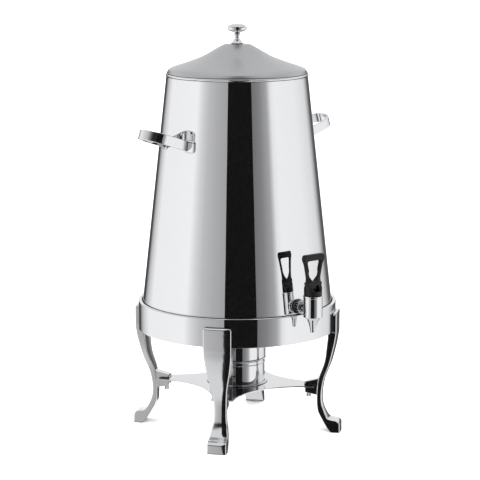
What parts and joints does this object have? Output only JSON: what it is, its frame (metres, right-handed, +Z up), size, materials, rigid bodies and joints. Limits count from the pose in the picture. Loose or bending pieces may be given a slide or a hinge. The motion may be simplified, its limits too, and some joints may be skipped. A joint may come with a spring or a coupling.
{
  "type": "heated beverage urn",
  "caption": "Polished steel hot drink urn with a lift-off lid and a self-closing faucet, on a legged stand over a fuel burner that draws out.",
  "frame": {"origin": "on the urn's upright axis, at the floor under the feet", "axes": "+Z up along the urn's axis, -Y towards the faucet, X along the two carrying handles"},
  "size_m": [0.3756, 0.3608, 0.6553],
  "materials": {
    "polished_steel": "mirror-polished stainless steel",
    "cast_steel": "polished casting, softly rounded",
    "satin_steel": "satin stainless steel",
    "plain_steel": "plain stainless steel fasteners and wire",
    "black_plastic": "black phenolic plastic, semi-matte",
    "silicone": "off-white silicone",
    "black_rubber": "black rubber washer"
  },
  "bodies": {
    "stand": {"support_ring": "polished_steel", "leg_front_right": "cast_steel", "leg_back_right": "cast_steel", "leg_back_left": "cast_steel", "leg_front_left": "cast_steel", "leg_bolt_front_right": "plain_steel", "leg_bolt_back_right": "plain_steel", "leg_bolt_back_left": "plain_steel", "leg_bolt_front_left": "plain_steel", "fuel_shelf": "polished_steel"},
    "urn": {"urn_body": "polished_steel", "urn_bottom": "satin_steel", "handle_right": "polished_steel", "handle_left": "polished_steel", "faucet_body": "polished_steel", "faucet_collar": "polished_steel", "faucet_outer_washer": "black_rubber", "faucet_inner_washer": "silicone", "faucet_lock_nut": "plain_steel", "faucet_bonnet": "black_plastic", "lever_pin": "plain_steel"},
    "lever": {"faucet_lever": "black_plastic"},
    "stem": {"faucet_stem": "plain_steel", "seat_cup": "silicone", "faucet_spring": "plain_steel"},
    "lid": {"lid_shell": "satin_steel", "lid_plug_ring": "satin_steel", "lid_knob": "polished_steel", "knob_screw": "plain_steel"},
    "burner": {"burner_holder": "polished_steel"},
    "cover": {"burner_cover": "polished_steel"},
    "thumbscrew_front_right": {"shelf_thumbscrew_front_right": "cast_steel"},
    "thumbscrew_back_right": {"shelf_thumbscrew_back_right": "cast_steel"},
    "thumbscrew_back_left": {"shelf_thumbscrew_back_left": "cast_steel"},
    "thumbscrew_front_left": {"shelf_thumbscrew_front_left": "cast_steel"}
  },
  "joints": [
    {"name": "urn_lift", "type": "slide", "parent": "stand", "child": "urn", "axis": [0, 0, 1], "range_m": [0, 0.06]},
    {"name": "lid_lift", "type": "slide", "parent": "urn", "child": "lid", "axis": [0, 0, 1], "range_m": [0, 0.12]},
    {"name": "lever_tilt", "type": "hinge", "parent": "urn", "child": "lever", "pos_m": [0, -0.18547, 0.257], "axis": [1, 0, 0], "range_deg": [0, 35], "stiffness_Nm_per_rad": 0.35, "springref_deg": -28.65},
    {"name": "stem_lift", "type": "slide", "parent": "urn", "child": "stem", "axis": [0, 0, 1], "range_m": [0, 0.0048]},
    {"name": "burner_draw", "type": "slide", "parent": "stand", "child": "burner", "axis": [0, -1, 0], "range_m": [0, 0.28]},
    {"name": "cover_lift", "type": "slide", "parent": "burner", "child": "cover", "axis": [0, 0, 1], "range_m": [0, 0.04]},
    {"name": "thumbscrew_turn_front_right", "type": "hinge", "parent": "stand", "child": "thumbscrew_front_right", "pos_m": [0.07585, -0.09039, 0.06], "axis": [0, 0, 1], "continuous": true},
    {"name": "thumbscrew_turn_back_right", "type": "hinge", "parent": "stand", "child": "thumbscrew_back_right", "pos_m": [0.09039, 0.07585, 0.06], "axis": [0, 0, 1], "continuous": true},
    {"name": "thumbscrew_turn_back_left", "type": "hinge", "parent": "stand", "child": "thumbscrew_back_left", "pos_m": [-0.07585, 0.09039, 0.06], "axis": [0, 0, 1], "continuous": true},
    {"name": "thumbscrew_turn_front_left", "type": "hinge", "parent": "stand", "child": "thumbscrew_front_left", "pos_m": [-0.09039, -0.07585, 0.06], "axis": [0, 0, 1], "continuous": true}
  ],
  "couplings": [
    {"joint": "stem_lift", "follows": "lever_tilt", "m_per_rad": 0.0076}
  ]
}
